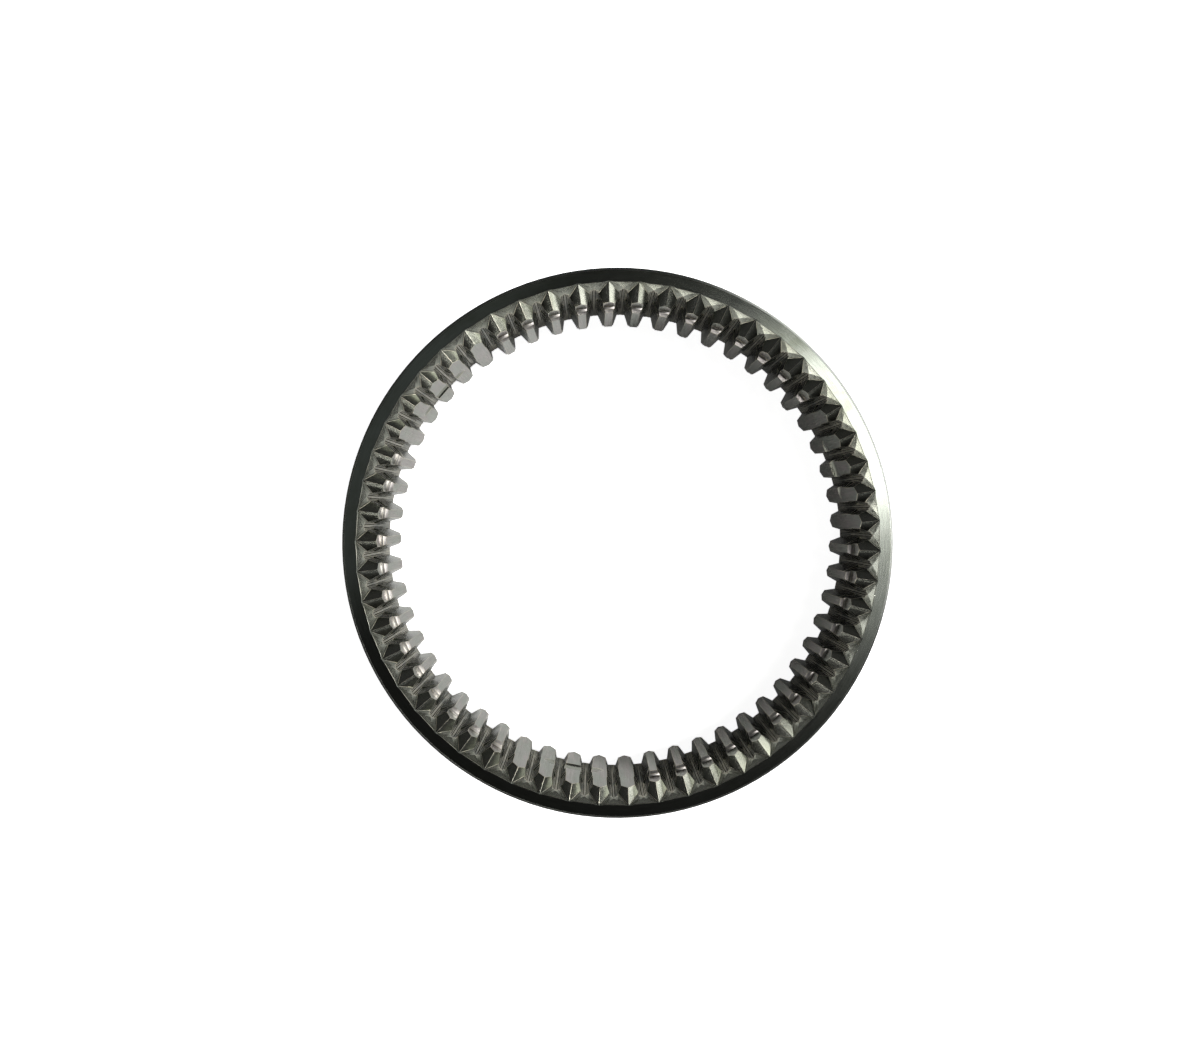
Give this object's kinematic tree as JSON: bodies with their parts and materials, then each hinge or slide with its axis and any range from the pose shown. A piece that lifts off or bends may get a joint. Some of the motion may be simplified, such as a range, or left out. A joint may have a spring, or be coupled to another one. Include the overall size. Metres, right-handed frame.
{
  "type": "gear selector ring",
  "caption": "Sliding gear selector ring in dark ground steel, with pointed internal spline teeth, detent grooves and an outer shift fork groove.",
  "frame": {"origin": "centre of the bore on the lower end face", "axes": "+Z along the ring's axis towards the upper end face, +X through the middle tooth of a relieved group"},
  "size_m": [0.104, 0.104, 0.018],
  "materials": {
    "steel": "ground, dark and lightly oiled"
  },
  "bodies": {
    "root": {"selector_ring": "steel"}
  },
  "joints": []
}
